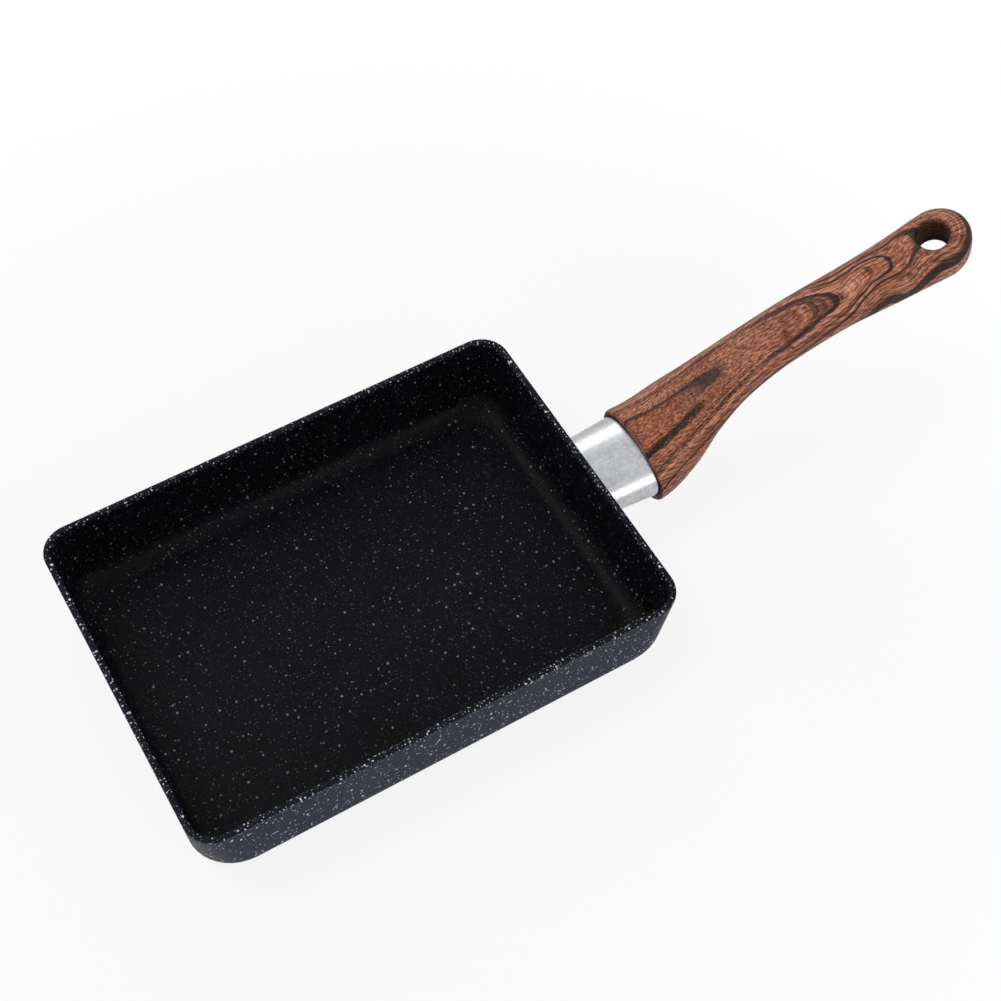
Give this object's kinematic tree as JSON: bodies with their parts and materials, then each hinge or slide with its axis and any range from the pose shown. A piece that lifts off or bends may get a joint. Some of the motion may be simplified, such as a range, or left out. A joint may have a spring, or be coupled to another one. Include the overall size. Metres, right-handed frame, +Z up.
{
  "type": "tamagoyaki pan",
  "caption": "Small rectangular pan with low steep walls, a flared oval flame guard and a rising wood-grain handle with a hang hole in its round end.",
  "frame": {"origin": "middle of the flat base, on the face that rests on the hob", "axes": "+X from the pan to the handle's hanging end, +Z up"},
  "size_m": [0.3469, 0.135, 0.0758],
  "materials": {
    "coated_aluminium": "satin dark non-stick coating with fine light speckles, over aluminium",
    "perforated_steel": "satin stainless",
    "boss_aluminium": "satin",
    "guard_aluminium": "satin, spun",
    "grain_phenolic": "satin phenolic with a printed rosewood grain",
    "zinc_steel": "satin"
  },
  "bodies": {
    "root": {"pan_body": "coated_aluminium", "base_plate": "perforated_steel", "handle_boss": "boss_aluminium", "flame_guard": "guard_aluminium", "handle": "grain_phenolic", "handle_screw": "zinc_steel", "lock_washer": "zinc_steel", "flat_washer": "zinc_steel"}
  },
  "joints": []
}
